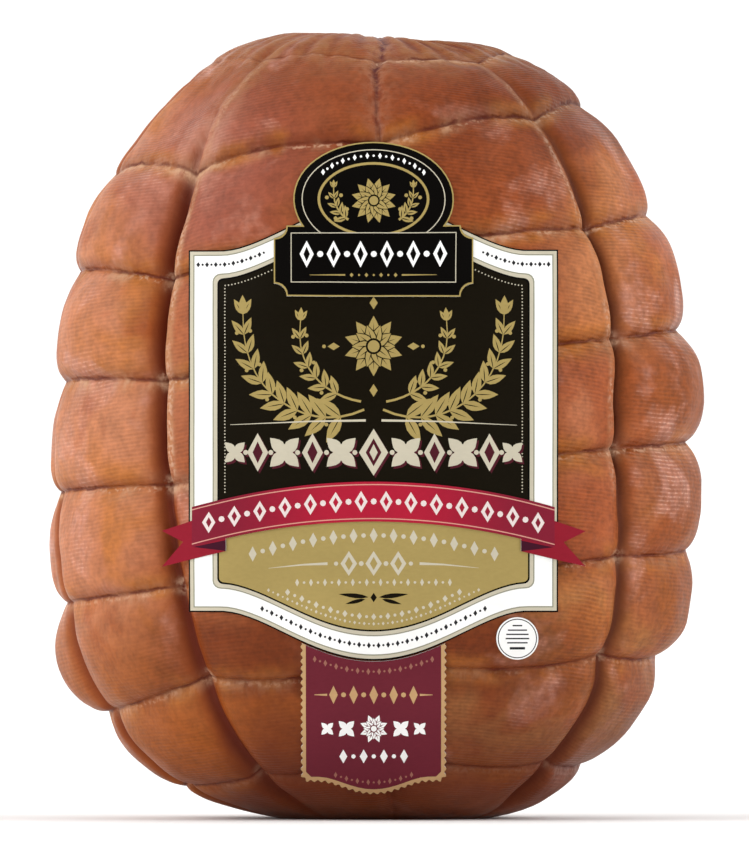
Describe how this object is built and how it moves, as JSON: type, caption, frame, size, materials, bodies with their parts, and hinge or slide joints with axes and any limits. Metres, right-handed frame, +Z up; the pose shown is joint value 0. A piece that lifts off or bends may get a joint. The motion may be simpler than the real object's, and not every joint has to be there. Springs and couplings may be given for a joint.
{
  "type": "black forest ham",
  "caption": "Whole boneless smoked ham, netted into pillows, standing on its flattened end, with thin printed labels laid on the front.",
  "frame": {"origin": "centre of the bounding box at its base, on the surface that the ham stands on", "axes": "+Z up the ham from its flattened end to the gathered crown, front with the labels towards -Y, +X to the viewer's right"},
  "size_m": [0.2082, 0.1641, 0.2498],
  "materials": {
    "smoked_meat": "moist smoked rind with fine casing ribs, satin",
    "panel_print": "glossy print in cream, gold and black",
    "medallion_print": "glossy black print with gold lines",
    "banner_print": "glossy dark red print with cream lines",
    "tab_print": "glossy maroon print with a tan edge",
    "seal_print": "glossy white print with dark rings"
  },
  "bodies": {
    "root": {"ham": "smoked_meat", "label_panel": "panel_print", "label_medallion": "medallion_print", "label_banner": "banner_print", "label_tab": "tab_print", "label_seal": "seal_print"}
  },
  "joints": []
}
